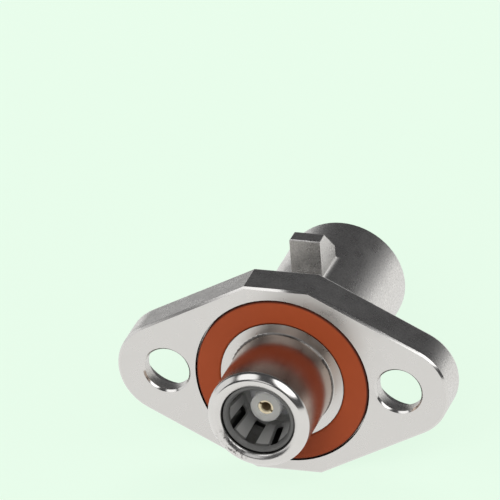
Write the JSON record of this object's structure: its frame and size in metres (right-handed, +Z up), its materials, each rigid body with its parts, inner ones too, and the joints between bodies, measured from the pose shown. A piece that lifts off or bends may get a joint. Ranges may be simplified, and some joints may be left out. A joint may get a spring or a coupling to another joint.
{
  "type": "fakra to smb adapter",
  "caption": "Flange-mount coaxial adapter: a locking cup with a male pin on one side, a push-on barrel with a slotted spring contact and a female centre contact on the other, and a seal ring.",
  "frame": {"origin": "on the coaxial axis in the plane of the flange's panel face, midway between the two screw holes", "axes": "+X along the flange's long axis, +Y out of the locking cup, -Y out of the push-on barrel, +Z up through the catch"},
  "size_m": [0.0216, 0.0191, 0.013],
  "materials": {
    "nickel_casting": "satin nickel plating over a die casting",
    "nickel_turned": "bright nickel plating over turned brass",
    "spring_alloy": "dull plating over a copper spring alloy",
    "insulator": "waxy white fluoropolymer",
    "gold_contact": "gold plating over turned brass",
    "silicone": "matt red-brown silicone rubber"
  },
  "bodies": {
    "root": {"housing": "nickel_casting", "inner_sleeve": "nickel_turned", "spring_contact": "spring_alloy", "plug_insulator": "insulator", "jack_insulator": "insulator", "centre_contact": "gold_contact", "seal_ring": "silicone"}
  },
  "joints": []
}
